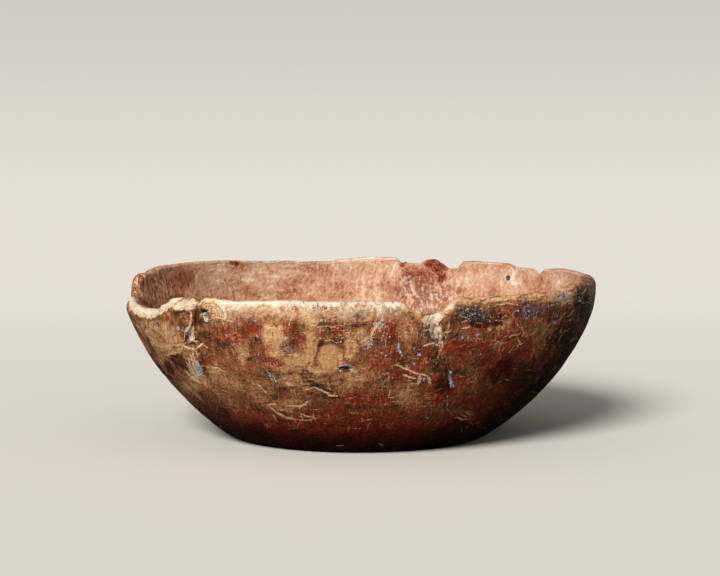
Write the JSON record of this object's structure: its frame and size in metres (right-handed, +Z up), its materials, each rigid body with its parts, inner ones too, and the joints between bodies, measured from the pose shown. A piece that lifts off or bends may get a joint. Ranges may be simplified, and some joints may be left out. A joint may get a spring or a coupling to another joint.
{
  "type": "root wood bowl",
  "caption": "Oval bowl hewn from one root burl: flat sole, swelling wall, hollow for food or small things, and a worn, wavy rim with a low dip, notches and bark pockets.",
  "frame": {"origin": "on the flat sole, under the middle of the rim", "axes": "+Z up out of the bowl's mouth, +X along the longer way of the oval, -Y towards the side that the picture shows"},
  "size_m": [0.3204, 0.2971, 0.1119],
  "materials": {
    "painted_root_wood": "worn red and blue paint over bare root wood, satin on the wall and dull inside"
  },
  "bodies": {
    "root": {"bowl": "painted_root_wood"}
  },
  "joints": []
}
